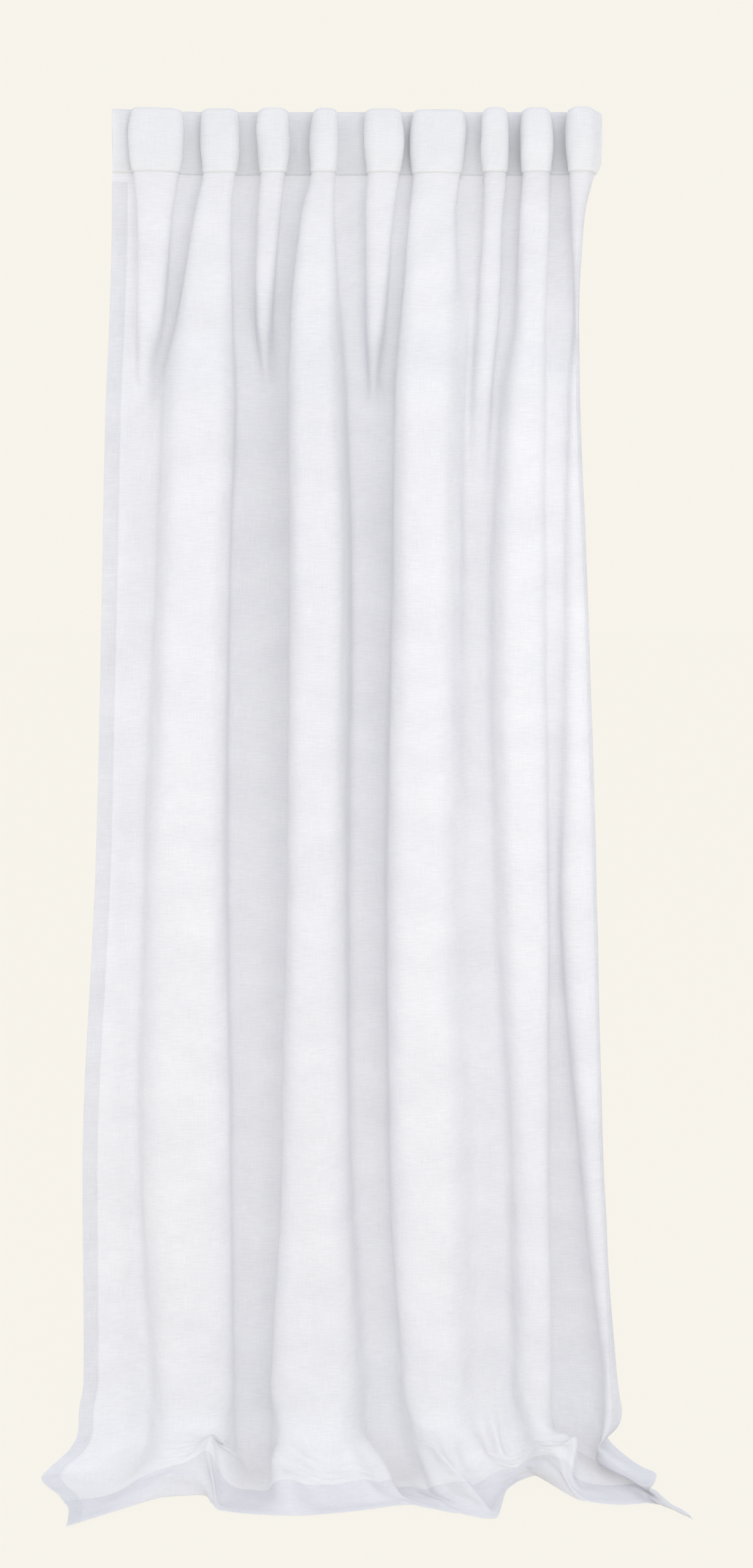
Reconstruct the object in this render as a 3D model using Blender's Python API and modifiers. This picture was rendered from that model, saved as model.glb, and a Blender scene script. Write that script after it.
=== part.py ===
"""A fabric room curtain panel on hidden tabs, drawn across a rod and resting its spare length on the floor.

Frame: metres, +Z up, +X to the right as seen from the room, -Y towards the room. The origin is on the axis of
the rod that the tabs hang from, in the middle of the gathered heading.
"""

import bisect
import math

import bpy
import numpy as np

# Driving dimensions, in metres.
FLAT_WIDTH = 1.40  # the cloth laid flat, hem to hem
FLAT_LENGTH = 2.50  # the cloth laid flat, top edge to bottom hem
HUNG_WIDTH = 0.80  # the heading as gathered on the rod
ROD_HEIGHT = 2.26  # rod axis above the floor
ROD_DIAMETER = 0.028
ROD_CLEARANCE = 0.002  # between the rod and the cloth or strap round it
TOP_ABOVE_ROD = 0.035  # top edge above the rod axis
HEADING_HEIGHT = 0.100  # top edge to heading seam
SIDE_HEM = 0.025
BOTTOM_HEM = 0.100
CLOTH = 0.0012
DOUBLED_CLOTH = 0.0018
TAPE_THICKNESS = 0.0010
TAB_WIDTH = 0.020
TAB_THICKNESS = 0.0012
TAB_END = 0.012  # length of strap sewn flat at each end of a tab
TAB_BELOW_STITCHES = 0.001  # from the top row of stitches to the end of a tab
STRAP_CORNER = 0.004  # bend of a strap where it turns behind the rod
TACK_WIDTH = 0.016
TACK_HEIGHT = 0.003
TACK_THICKNESS = 0.0012
THREAD_DIAMETER = 0.0010
SEAM_INSET = 0.004  # a row of stitches runs this far inside an edge
FLOOR_BEND = 0.030  # radius of the cloth where it turns on to the floor
GAP = 0.0003  # between pieces that touch
LAYER_GAP = 0.0006  # between the heading and its tape, which turn together
CLOTH_GAP = 0.0012  # between pieces of cloth that meet edge to edge, where the surface turns

# Places that follow from them.
TOP_Z = TOP_ABOVE_ROD
FLOOR_Z = -ROD_HEIGHT
BACK_FACE_Y = -(ROD_DIAMETER / 2 + ROD_CLEARANCE)  # rearmost face of the tape
HEADING_Y = BACK_FACE_Y - TAPE_THICKNESS - LAYER_GAP - DOUBLED_CLOTH / 2
LYING_Z = FLOOR_Z + DOUBLED_CLOTH / 2 + GAP
HANGING_LENGTH = TOP_Z - LYING_Z - FLOOR_BEND
LYING_LENGTH = FLAT_LENGTH - HANGING_LENGTH - FLOOR_BEND * (math.pi / 2 - 1)  # measured from where the cloth turns

# The tabs, as percentages of the hung width from the middle.
TAB_PLACES = (-46.3, -33.1, -21.8, -11.3, -0.9, 10.7, 25.1, 32.6, 42.2, 49.0)

# The folds, from left to right. A fold has rows of (height, left edge, right edge, reach): height as a
# percentage of the rod height below the rod, edges as percentages of the hung width, and reach in metres
# forward of the valleys. Four of the nine bulges in the heading run out on the way down.
FOLDS = (
    ((0, -45.5, -35.2, 0.026), (6, -44.5, -37.2, 0.030), (13, -44.8, -39.5, 0.026), (19, -42.9, -42.4, 0.002)),
    ((0, -31.0, -24.0, 0.033), (6, -33.0, -25.1, 0.045), (19, -38.4, -24.8, 0.062), (53, -43.1, -27.4, 0.062),
     (93, -43.1, -26.9, 0.050)),
    ((0, -19.6, -13.8, 0.040), (6, -20.1, -15.1, 0.042), (13, -20.6, -17.0, 0.030), (18, -18.6, -18.1, 0.002)),
    ((0, -8.9, -3.9, 0.038), (6, -11.2, -4.2, 0.048), (19, -13.5, -3.0, 0.066), (53, -14.4, -2.9, 0.066),
     (93, -18.9, 0.5, 0.050)),
    ((0, 2.0, 8.5, 0.034), (6, 2.0, 7.2, 0.038), (13, 1.9, 6.0, 0.028), (19, 2.9, 3.4, 0.002)),
    ((0, 12.9, 22.1, 0.026), (6, 10.9, 20.5, 0.045), (19, 8.5, 20.1, 0.062), (53, 6.8, 20.6, 0.062),
     (93, 9.9, 23.1, 0.050)),
    ((0, 27.4, 31.0, 0.049), (6, 27.6, 29.6, 0.045), (19, 26.2, 27.4, 0.038), (42, 23.0, 24.0, 0.002)),
    ((0, 34.2, 39.6, 0.041), (6, 33.6, 39.5, 0.045), (19, 30.5, 38.8, 0.055), (53, 30.0, 40.2, 0.060),
     (93, 34.1, 42.6, 0.050)),
    ((0, 44.8, 48.0, 0.050), (6, 44.0, 46.5, 0.045), (19, 42.6, 45.2, 0.050), (53, 43.0, 49.5, 0.055),
     (93, 53.0, 55.5, 0.040)),
)  # fmt: skip
LEFT_EDGE = ((0, -49.4, 0.010), (19, -50.9, 0.030), (53, -54.3, 0.035), (93, -58.9, 0.030))
RIGHT_EDGE = ((0, 50.0, 0.002), (6, 47.2, 0.015), (19, 45.9, 0.030), (53, 50.2, 0.035), (93, 56.5, 0.030))
HANG_BACK = ((0, 0.0), (4, 0.0), (20, 0.012), (100, 0.012))  # how far the valleys lie behind the heading's

# Where the cloth meets the floor, as percentages of the hung width and metres in front of the rod, and where its
# bottom hem lies, as percentages and shares of the length that lies on the floor.
CONTACT = ((-68, -0.095), (-59, -0.075), (-41, 0.0), (-30, 0.010), (-12, -0.050), (5, -0.030), (21, -0.060),
           (35, -0.020), (50, 0.0), (65, -0.010))  # fmt: skip
HEM = ((-59, -1.301), (-41, -0.822), (-30, -0.913), (-10, -1.118), (10, -0.936), (27, -1.196), (38, -0.593),
       (52, -0.822), (69, -1.205))  # fmt: skip
PLEATS_END = 0.16  # height above the floor below which the pleats run out
PLEATS_SOFTEN = 0.30  # length below the heading over which the pleats take their fuller rounding

HEADING_ROUNDING = 0.005
BODY_ROUNDING = 0.010
FLOOR_ROUNDING = 0.020

# Fineness of the solids.
HEADING_COLUMNS = 82
BODY_COLUMNS = 54
HANGING_ROWS = (0.06, 0.10, 0.16, 0.22, 0.33, 0.49, 0.66, 0.82)  # shares of the hanging length
TURNING_ROWS = (0.16, 0.10, 0.05, 0)  # metres above where the cloth turns on to the floor
LEAST_ROW = 0.01  # least length between two rows
SMOOTHING_STEP = 0.002
CURVE_POINTS = 2000
DEPTHS = (0.05, 4.0)  # least and most that the pleats' reach is multiplied by to take up the cloth's width
DEPTH_STEPS = 18


def percent_of_width(value):
    return value * HUNG_WIDTH / 100


def interpolated(rows, at):
    """The row at a height between rows that start with their height, held level past both ends."""
    heights = [row[0] for row in rows]
    after = bisect.bisect(heights, at)
    if after == 0 or after == len(rows):
        return rows[max(after - 1, 0)][1:]
    low, high = rows[after - 1], rows[after]
    share = (at - low[0]) / (high[0] - low[0])
    share = share * share * (3 - 2 * share)
    return tuple(a + (b - a) * share for a, b in zip(low[1:], high[1:]))


def resampled(points, count):
    """count points at equal steps along a polyline."""
    points = np.asarray(points, float)
    along = np.concatenate([[0], np.cumsum(np.linalg.norm(np.diff(points, axis=0), axis=1))])
    at = np.linspace(0, along[-1], count)
    return np.stack([np.interp(at, along, column) for column in points.T], axis=1)


def rounded(points, radius):
    """The polyline with its corners rounded, its two ends kept."""
    length = np.linalg.norm(np.diff(points, axis=0), axis=1).sum()
    fine = resampled(points, max(int(length / SMOOTHING_STEP), 8))
    reach = int(3 * radius / SMOOTHING_STEP)
    weights = np.exp(-0.5 * (np.arange(-reach, reach + 1) * SMOOTHING_STEP / radius) ** 2)
    weights /= weights.sum()
    before = 2 * fine[0] - fine[reach:0:-1]
    after = 2 * fine[-1] - fine[-2 : -reach - 2 : -1]
    padded = np.concatenate([before, fine, after])
    return np.stack([np.convolve(column, weights, "valid") for column in padded.T], axis=1)


def corners(height, depth):
    """Plan corners of the pleated cloth at a height, with every fold's reach multiplied by depth."""
    back = HEADING_Y + interpolated(HANG_BACK, height)[0]
    edge, reach = interpolated(LEFT_EDGE, height)
    points = [(percent_of_width(edge), back - depth * reach)]
    for rows in FOLDS:
        left, right, reach = interpolated(rows, height)
        if height > rows[-1][0] and reach < 0.01:
            continue
        left, right = percent_of_width(left), percent_of_width(right)
        points += [(left, back), (left, back - depth * reach), (right, back - depth * reach), (right, back)]
    edge, reach = interpolated(RIGHT_EDGE, height)
    points[-1] = (percent_of_width(edge), back - depth * reach)
    return points


def length_of(points):
    return float(np.linalg.norm(np.diff(points, axis=0), axis=1).sum())


def pleated(z):
    """The plan curve of the hanging cloth at height z: as long as the cloth is wide."""
    height = max(-z, 0) / ROD_HEIGHT * 100
    share = min(max((-z - (HEADING_HEIGHT - TOP_ABOVE_ROD)) / PLEATS_SOFTEN, 0), 1)
    radius = HEADING_ROUNDING + (BODY_ROUNDING - HEADING_ROUNDING) * share
    shallow, deep = DEPTHS
    for _ in range(DEPTH_STEPS):
        depth = (shallow + deep) / 2
        curve = rounded(corners(height, depth), radius)
        if length_of(curve) < FLAT_WIDTH:
            shallow = depth
        else:
            deep = depth
    return curve


def floor_curve(places):
    points = [(percent_of_width(x), y) for x, y in places]
    return rounded(points, FLOOR_ROUNDING)


def points_on(curve, places):
    """The points of a curve at distances across the flat cloth."""
    points = resampled(curve, CURVE_POINTS)
    at = np.linspace(0, FLAT_WIDTH, len(points))
    return np.stack([np.interp(places, at, column) for column in points.T], axis=1)


def row_of_cloth(down, places):
    """Points at distances across the cloth, at a distance down from its top edge."""
    if down <= HANGING_LENGTH:
        z = TOP_Z - down
        plan = points_on(pleated(z), places)
        share = min(max((FLOOR_Z + PLEATS_END - z) / PLEATS_END, 0), 1)
        if share > 0:
            share = share * share * (3 - 2 * share)
            plan = plan * (1 - share) + points_on(floor_curve(CONTACT), places) * share
        return np.column_stack([plan, np.full(len(places), z)])
    turned = (down - HANGING_LENGTH) / FLOOR_BEND
    if turned < math.pi / 2:
        out, z = FLOOR_BEND * (1 - math.cos(turned)), LYING_Z + FLOOR_BEND * (1 - math.sin(turned))
    else:
        out, z = FLOOR_BEND * (1 + turned - math.pi / 2), LYING_Z
    share = out / LYING_LENGTH
    start = points_on(floor_curve(CONTACT), places)
    end = points_on(floor_curve([(x, y * LYING_LENGTH) for x, y in HEM]), places)
    return np.column_stack([start + (end - start) * share, np.full(len(places), z)])


def loft(name, rows):
    """An open mesh through rows of points, facing the room."""
    down, across = rows.shape[:2]
    faces = [
        (i * across + j, (i + 1) * across + j, (i + 1) * across + j + 1, i * across + j + 1)
        for i in range(down - 1)
        for j in range(across - 1)
    ]
    mesh = bpy.data.meshes.new(name)
    mesh.from_pydata(rows.reshape(-1, 3).tolist(), [], faces)
    mesh.shade_smooth()
    return mesh


def moved_out(rows, distance):
    """The rows moved along the loft's own normals, towards the room when distance is positive."""
    rows = np.asarray(rows)
    mesh = loft("normals", rows)
    normals = np.array([vertex.normal[:] for vertex in mesh.vertices]).reshape(rows.shape)
    bpy.data.meshes.remove(mesh)
    return rows + distance * normals


def material(name, colour, roughness):
    made = bpy.data.materials.new(name)
    made.use_nodes = True
    shader = made.node_tree.nodes["Principled BSDF"]
    shader.inputs["Base Color"].default_value = (*colour, 1)
    shader.inputs["Roughness"].default_value = roughness
    shader.inputs["Metallic"].default_value = 0
    return made


def in_collection(name, data, collection, look):
    piece = bpy.data.objects.new(name, data)
    data.materials.append(look)
    collection.objects.link(piece)
    return piece


def sheet(name, rows, thickness, collection, look):
    """A piece of cloth: a loft through the rows, thickened equally to both sides."""
    mesh = loft(name, np.asarray(rows))
    piece = in_collection(name, mesh, collection, look)
    solid = piece.modifiers.new("thickness", "SOLIDIFY")
    solid.thickness = thickness
    solid.offset = 0
    return piece


def thread(name, points, collection, look):
    """A row of stitches, drawn as one continuous thread."""
    curve = bpy.data.curves.new(name, "CURVE")
    curve.dimensions = "3D"
    curve.bevel_depth = THREAD_DIAMETER / 2
    curve.bevel_resolution = 0
    curve.use_fill_caps = True
    line = curve.splines.new("POLY")
    line.points.add(len(points) - 1)
    for point, place in zip(line.points, points):
        point.co = (*place, 1)
    return in_collection(name, curve, collection, look)


def strap_path():
    """Side view of a tab as (y, z): flat on the tape, squarely round behind the rod and flat on the tape again."""
    front = BACK_FACE_Y + GAP + TAB_THICKNESS / 2
    half = ROD_DIAMETER / 2 + ROD_CLEARANCE + TAB_THICKNESS / 2
    top = TOP_Z - SEAM_INSET - TAB_BELOW_STITCHES
    low = TOP_Z - HEADING_HEIGHT + SEAM_INSET + TAB_END
    centre = half - STRAP_CORNER
    turns = [math.radians(a) for a in (90, 60, 30, 0)]
    corner = [(centre + STRAP_CORNER * math.cos(a), centre + STRAP_CORNER * math.sin(a)) for a in turns]
    back = [(front + STRAP_CORNER, half), *corner, *[(y, -z) for y, z in reversed(corner)]]
    return [(front, top), (front, top - TAB_END), *back, (front, low + TAB_END), (front, low)]


def tab(name, x, collection, look):
    path = strap_path()
    rows = [[(x - TAB_WIDTH / 2, y, z), (x + TAB_WIDTH / 2, y, z)] for y, z in path]
    return sheet(name, rows, TAB_THICKNESS, collection, look)


def tack(name, x, z, parent, collection, look):
    """A bar tack: a short raised bar of stitching across the end of a tab."""
    bpy.ops.mesh.primitive_cube_add(size=1)
    piece = bpy.context.object
    piece.name = name
    piece.data.name = name
    for other in piece.users_collection:
        other.objects.unlink(piece)
    collection.objects.link(piece)
    piece.data.transform(
        [[TACK_WIDTH, 0, 0, 0], [0, TACK_THICKNESS, 0, 0], [0, 0, TACK_HEIGHT, 0], [0, 0, 0, 1]]
    )
    y = BACK_FACE_Y + GAP + TAB_THICKNESS + GAP + TACK_THICKNESS / 2
    piece.location = (x, y, z)
    piece.data.materials.append(look)
    edges = piece.modifiers.new("edges", "BEVEL")
    edges.width = TACK_THICKNESS / 4
    edges.segments = 1
    piece.parent = parent
    return piece


def cleared_collection():
    for old in list(bpy.data.objects):
        bpy.data.objects.remove(old)
    made = bpy.data.collections.new("curtain_panel")
    bpy.context.scene.collection.children.link(made)
    return made


def main():
    collection = cleared_collection()
    voile = material("voile", (0.90, 0.90, 0.93), 0.9)
    heading_cloth = material("heading_cloth", (0.93, 0.93, 0.95), 0.9)
    hem_cloth = material("hem_cloth", (0.91, 0.91, 0.94), 0.9)
    webbing = material("webbing", (0.88, 0.88, 0.89), 0.8)
    stitching = material("stitching", (0.86, 0.86, 0.88), 0.7)

    # The heading: doubled cloth, with its tape behind it and a row of stitches along each edge.
    seam_down = HEADING_HEIGHT - SEAM_INSET
    across = np.linspace(0, FLAT_WIDTH, HEADING_COLUMNS)
    band_rows = [
        row_of_cloth(down, across)
        for down in (0, SEAM_INSET, HEADING_HEIGHT / 2, seam_down, HEADING_HEIGHT - CLOTH_GAP / 2)
    ]
    sheet("heading_band", band_rows, DOUBLED_CLOTH, collection, heading_cloth)
    tape_out = DOUBLED_CLOTH / 2 + LAYER_GAP + TAPE_THICKNESS / 2
    tape_rows = moved_out(band_rows, -tape_out)[1:4, 1:-1]
    sheet("heading_tape", tape_rows, TAPE_THICKNESS, collection, webbing)
    stitch_out = DOUBLED_CLOTH / 2 + 2 * GAP + THREAD_DIAMETER / 2
    for name, row in (("heading_top_thread", 1), ("heading_seam_thread", 3)):
        thread(name, moved_out(band_rows, stitch_out)[row], collection, stitching)

    # The main cloth with its side hems and bottom hem, all in one surface.
    hem_down = FLAT_LENGTH - BOTTOM_HEM
    first = HEADING_HEIGHT + CLOTH_GAP / 2
    downs = [share * HANGING_LENGTH for share in HANGING_ROWS]
    downs += [HANGING_LENGTH - above for above in TURNING_ROWS]
    downs += [HANGING_LENGTH + FLOOR_BEND * angle for angle in (0.5, 1.0, math.pi / 2)]
    downs = [down for down in downs if first + LEAST_ROW < down < hem_down - LEAST_ROW]
    downs = [first, *downs, hem_down - CLOTH_GAP / 2]
    inner = np.linspace(SIDE_HEM + CLOTH_GAP / 2, FLAT_WIDTH - SIDE_HEM - CLOTH_GAP / 2, BODY_COLUMNS)
    left = np.array([0, SIDE_HEM / 2, SIDE_HEM - SEAM_INSET, SIDE_HEM - CLOTH_GAP / 2])
    right = FLAT_WIDTH - left[::-1]
    sheet("curtain_panel", [row_of_cloth(down, inner) for down in downs], CLOTH, collection, voile)
    for side, places, column in (("left", left, 2), ("right", right, 1)):
        rows = [row_of_cloth(down, places) for down in downs]
        sheet(f"side_hem_{side}", rows, DOUBLED_CLOTH, collection, hem_cloth)
        thread(f"side_thread_{side}", moved_out(rows, stitch_out)[:, column], collection, stitching)

    hem_rows = [
        row_of_cloth(down, np.concatenate([left, inner, right]))
        for down in (hem_down + CLOTH_GAP / 2, hem_down + SEAM_INSET, FLAT_LENGTH - BOTTOM_HEM / 2, FLAT_LENGTH)
    ]
    sheet("bottom_hem", hem_rows, DOUBLED_CLOTH, collection, hem_cloth)
    thread("bottom_hem_thread", moved_out(hem_rows, stitch_out)[1], collection, stitching)

    # The hidden tabs, each with its two bar tacks. They slide along the rod.
    path = strap_path()
    for number, place in enumerate(TAB_PLACES, 1):
        x = percent_of_width(place)
        strap = tab(f"hidden_tab_{number:02d}", x, collection, webbing)
        for where, z in (("top", path[0][1] - TAB_END / 3), ("low", path[-1][1] + TAB_END / 3)):
            tack(f"tack_{where}_{number:02d}", x, z, strap, collection, stitching)


main()
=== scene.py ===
import math

import bpy
import numpy as np
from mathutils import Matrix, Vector


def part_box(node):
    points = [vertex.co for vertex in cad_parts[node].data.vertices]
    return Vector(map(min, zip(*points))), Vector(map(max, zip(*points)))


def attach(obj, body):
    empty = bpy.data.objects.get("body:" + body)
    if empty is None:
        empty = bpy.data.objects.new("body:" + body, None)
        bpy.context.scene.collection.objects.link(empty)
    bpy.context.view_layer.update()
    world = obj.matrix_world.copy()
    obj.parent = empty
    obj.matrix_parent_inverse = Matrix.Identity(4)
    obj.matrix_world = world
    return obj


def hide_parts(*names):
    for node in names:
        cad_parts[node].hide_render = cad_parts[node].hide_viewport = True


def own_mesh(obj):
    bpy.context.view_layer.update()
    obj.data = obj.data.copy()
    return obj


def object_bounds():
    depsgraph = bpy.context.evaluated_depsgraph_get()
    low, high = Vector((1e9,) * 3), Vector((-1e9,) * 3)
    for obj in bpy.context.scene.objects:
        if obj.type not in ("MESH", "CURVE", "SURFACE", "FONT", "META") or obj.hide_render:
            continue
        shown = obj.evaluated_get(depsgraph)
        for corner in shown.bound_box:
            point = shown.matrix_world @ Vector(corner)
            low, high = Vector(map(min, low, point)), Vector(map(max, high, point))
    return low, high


# The cloth as cut, in metres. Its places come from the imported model.
FLAT_WIDTH = 1.40
FLAT_LENGTH = 2.50
SIDE_HEM = 0.025
BOTTOM_HEM = 0.100

# The folds of the cloth, from left to right. A fold has rows of (height, left edge, right edge, reach, lift):
# height as a percentage of the rod height below the rod, edges as percentages of the hung width from its
# middle, reach in metres forward of the valleys, and how far the valley to its left is filled, as a share of
# the reach. Four of the nine bulges in the heading run out on the way down.
FOLDS = (
    ((-2, -45.4, -34.8, 0.024, 0.0), (2, -45.6, -35.2, 0.028, 0.0), (6, -44.6, -37.2, 0.034, 0.0),
     (13, -44.6, -39.4, 0.030, 0.0), (17, -44.6, -41.6, 0.014, 0.1), (20, -43.4, -42.0, 0.0, 0.2)),
    ((-2, -31.4, -23.6, 0.032, 0.0), (2, -31.0, -24.0, 0.036, 0.0), (6, -33.0, -25.1, 0.048, 0.0),
     (13, -35.8, -25.2, 0.060, 0.1), (19, -38.4, -24.8, 0.064, 0.3), (32, -40.1, -26.3, 0.064, 0.35),
     (53, -43.1, -27.4, 0.062, 0.35), (76, -45.2, -26.8, 0.060, 0.35), (93, -43.4, -26.6, 0.052, 0.3)),
    ((-2, -19.8, -13.6, 0.038, 0.0), (2, -19.6, -13.8, 0.042, 0.0), (6, -20.1, -15.1, 0.044, 0.0),
     (13, -20.6, -17.0, 0.036, 0.0), (16, -19.8, -17.6, 0.016, 0.0), (19, -18.6, -17.6, 0.0, 0.0)),
    ((-2, -8.6, -3.6, 0.036, 0.0), (2, -8.9, -3.9, 0.042, 0.0), (6, -11.2, -4.2, 0.052, 0.0),
     (13, -13.1, -4.0, 0.064, 0.0), (19, -13.5, -3.2, 0.070, 0.0), (32, -13.6, -2.4, 0.070, 0.0),
     (53, -14.4, -2.9, 0.068, 0.0), (76, -16.0, -2.2, 0.064, 0.0), (93, -18.9, 0.4, 0.056, 0.0)),
    ((-2, 1.8, 9.4, 0.032, 0.0), (2, 2.0, 9.3, 0.036, 0.0), (6, 2.0, 7.8, 0.040, 0.0),
     (13, 1.9, 6.0, 0.034, 0.0), (17, 2.4, 4.6, 0.016, 0.0), (20, 2.8, 4.0, 0.0, 0.0)),
    ((-2, 11.4, 22.4, 0.024, 0.0), (2, 11.4, 22.1, 0.028, 0.0), (6, 10.9, 20.5, 0.046, 0.0),
     (13, 9.6, 20.2, 0.060, 0.0), (19, 8.5, 20.1, 0.064, 0.0), (32, 8.1, 19.9, 0.064, 0.0),
     (53, 6.8, 20.4, 0.062, 0.0), (76, 7.5, 22.4, 0.060, 0.0), (93, 9.9, 23.1, 0.052, 0.0)),
    ((-2, 25.8, 30.6, 0.044, 0.0), (2, 25.6, 30.8, 0.044, 0.0), (6, 25.8, 30.2, 0.040, 0.0),
     (13, 25.0, 29.6, 0.024, 0.0), (19, 23.8, 28.2, 0.013, 0.0), (26, 23.0, 27.4, 0.004, 0.0),
     (31, 22.4, 26.8, 0.0, 0.0)),
    ((-2, 33.6, 39.4, 0.040, 0.0), (2, 33.6, 39.6, 0.044, 0.0), (6, 33.2, 39.5, 0.048, 0.1),
     (13, 33.1, 39.1, 0.054, 0.3), (19, 30.5, 38.8, 0.058, 0.4), (32, 28.8, 39.2, 0.062, 0.4),
     (53, 30.0, 40.2, 0.062, 0.4), (76, 33.1, 41.4, 0.060, 0.35), (93, 34.1, 42.4, 0.054, 0.3)),
    ((-2, 42.8, 48.2, 0.048, 0.0), (2, 43.0, 48.0, 0.050, 0.0), (6, 43.6, 46.6, 0.048, 0.1),
     (13, 44.2, 45.6, 0.050, 0.5), (19, 43.0, 45.4, 0.052, 0.8), (32, 42.6, 47.0, 0.056, 0.85),
     (53, 42.6, 49.5, 0.058, 0.6), (76, 47.6, 52.4, 0.056, 0.2), (93, 53.0, 55.6, 0.048, 0.0)),
)  # fmt: skip
# How far each fold overhangs the valleys on its left and right, in metres, below the heading and in it.
OVERHANGS = ((0.0, 0.0), (-0.010, 0.004), (0.0, 0.0), (0.007, -0.010), (0.0, 0.0), (-0.002, -0.022),
             (-0.004, 0.008), (-0.006, 0.010), (0.004, 0.0))  # fmt: skip
HEADING_OVERHANG = 0.008
# The cloth's left and right edges: (height, place, metres forward of the back of the cloth).
LEFT_EDGE = ((-2, -49.2, 0.030), (6, -49.5, 0.030), (19, -50.9, 0.034), (32, -52.1, 0.036), (53, -54.3, 0.036),
             (76, -58.3, 0.034), (93, -58.9, 0.030), (98, -62.5, 0.030))  # fmt: skip
RIGHT_EDGE = ((-2, 50.0, 0.002), (2, 49.9, 0.002), (3.5, 48.4, 0.012), (6, 46.9, 0.020), (13, 45.7, 0.034),
              (19, 45.8, 0.036), (32, 47.5, 0.038), (53, 50.1, 0.038), (76, 52.9, 0.036), (93, 56.2, 0.032),
              (98, 60.0, 0.032))  # fmt: skip
# How far the back of the cloth hangs behind where it is in the heading: (height, metres).
HANG_BACK = ((-2, 0.0), (4, 0.0), (20, 0.014), (100, 0.014))
# How wide the folds are at each height, as shares of their rows' widths: drawn in at the top edge and the seam.
SWELL = ((-2, 0.97), (-0.4, 1.02), (0.9, 1.03), (2.9, 0.98), (6, 1.02), (11, 1.04), (50, 1.04), (93, 1.0))
# A fold's front: how far its shoulders are in from its edges, as a share of its width, and how far forward its
# edges are, as a share of its reach. It overhangs its valleys by at most a share of its width.
SHOULDER_INSET = 0.16
EDGE_REACH = 0.75
MOST_OVERHANG = 0.35
# How rounded the folds are in plan at the top edge, in metres, and how much rounder between two heights.
ROUNDING = 0.0056
ROUNDER = ((3, 22, 0.0064), (18, 55, 0.0030))
# The top edge sinks where it turns along a fold's side, and less so down to this distance from it, in metres.
TOP_DROP = 0.0035
TOP_DROP_LENGTH = 0.04
# Wrinkles out of the cloth's face: (metres, cells down and across, seed). They start and stop gradually, each
# between two distances down the cloth.
WRINKLES = ((0.0016, (11, 44), 3), (0.0006, (46, 90), 5))
WRINKLES_START = (0.0, 0.05)
WRINKLES_STOP = (2.2, 2.3)

# Where the bottom hem comes to lie on the floor: (metres along the hem, percentage of the hung width from its
# middle, metres in front of the rod).
HEM_PATH = ((0, -59.0, 0.289), (0.183, -41.0, 0.176), (0.258, -31.8, 0.166), (0.350, -28.8, 0.232),
            (0.421, -20.0, 0.245), (0.496, -10.6, 0.250), (0.583, 0.0, 0.232), (0.669, 10.2, 0.205),
            (0.695, 12.2, 0.212), (0.858, 29.0, 0.267), (0.977, 31.6, 0.150), (1.058, 37.9, 0.086),
            (1.190, 47.0, 0.196), (1.263, 56.2, 0.210), (1.313, 62.5, 0.195), (1.40, 69.5, 0.264))  # fmt: skip
# Points of the cloth that stand up or spread where it lands: (metres across, metres down the cloth, percentage
# of the hung width from its middle, metres in front of the rod, metres above the floor).
LANDINGS = ((0.0, 2.33, -67.5, 0.105, 0.004), (0.30, 2.37, -30.4, 0.140, 0.092),
            (1.17, 2.34, 47.2, 0.115, 0.080), (1.31, 2.335, 64.0, 0.100, 0.012),
            (1.40, 2.29, 52.0, 0.085, 0.020))  # fmt: skip
LANDING_REACH = 0.035

# How the lowest cloth starts out before it settles: it turns forward round an axis in front of its foremost
# fold, and it is led to the hem's path by a power of its share of the lying length.
TURN_INSET = 0.014
FIRST_TURN_HEIGHT = 0.10
LED_POWER = 1.4
HEM_ROUNDING = 0.010

# The simulation: the length of cloth in it, how far down that is held and from where it is free, how firmly the
# hem is held, how far above the floor it starts, and the size of wrinkle that is smoothed away after it.
SIMULATED_LENGTH = 0.46
HELD_LENGTH = 0.05
FREED_LENGTH = 0.19
HEM_HOLD = 0.7
REST_GAP = 0.003
SOFTENING = 0.008
LEAST_ABOVE_FLOOR = 0.0012
FRAMES = 40

# How fine the cloth is, as it is shown and as it is simulated.
COLUMN_STEP = 0.005
ROW_STEP = 0.013
HEADING_ROWS = 22
LYING_ROW_STEP = 0.006
SIMULATED_COLUMN_STEP = 0.010
SIMULATED_ROW_STEP = 0.008

# The heading's doubled cloth, in metres: how far it stands off the main cloth, how far it puffs out from there
# between its seams, and how far its top fold rises. The puff follows a sine to a power, and it varies by a share.
HEADING_PROUD = 0.0012
HEADING_PUFF = 0.0030
TOP_FOLD_RISE = 0.0010
PUFF_POWER = 0.6
GATHERS = 0.45
GATHER_CELLS = (3, 150)
GATHER_SEED = 8
# The tape behind it: how far it stops short of the seams, its two faces' distances behind the main cloth, and the
# columns of points that it leaves free at each side.
TAPE_INSET = 0.003
TAPE_NEAR = 0.0014
TAPE_FAR = 0.0024
TAPE_COLUMNS_IN = 2
# A turned hem's distance behind the main cloth and past its edge, and a sewn edge's distance from it.
HEM_BEHIND = 0.0009
HEM_LIP = 0.0007
SEWN_GAP = 0.0002

# The stitches, which stand off the cloth by a share of their radius, the webbing straps and the bar tacks.
STITCH_PITCH = 0.0036
STITCH_LENGTH = 0.0027
STITCH_RADIUS = 0.00035
STITCH_PROUD = 0.4
SEAM_INSET = 0.004
STRAP_THICKNESS = 0.0012
STRAP_LAP = 0.011
STRAP_TURN = 0.0045
STRAP_ROUNDING = 0.0012
TACK_PASSES = 15
TACK_INSET = 0.0004
TACK_RADIUS = 0.0005

# The tabs' span as a share of the hung width, and how far the model's cloth is from its faces.
TABS_SPAN = 0.953
CAD_ABOVE_FLOOR = 0.0003
CLOTH_IN_BAND = 0.0009

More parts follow.
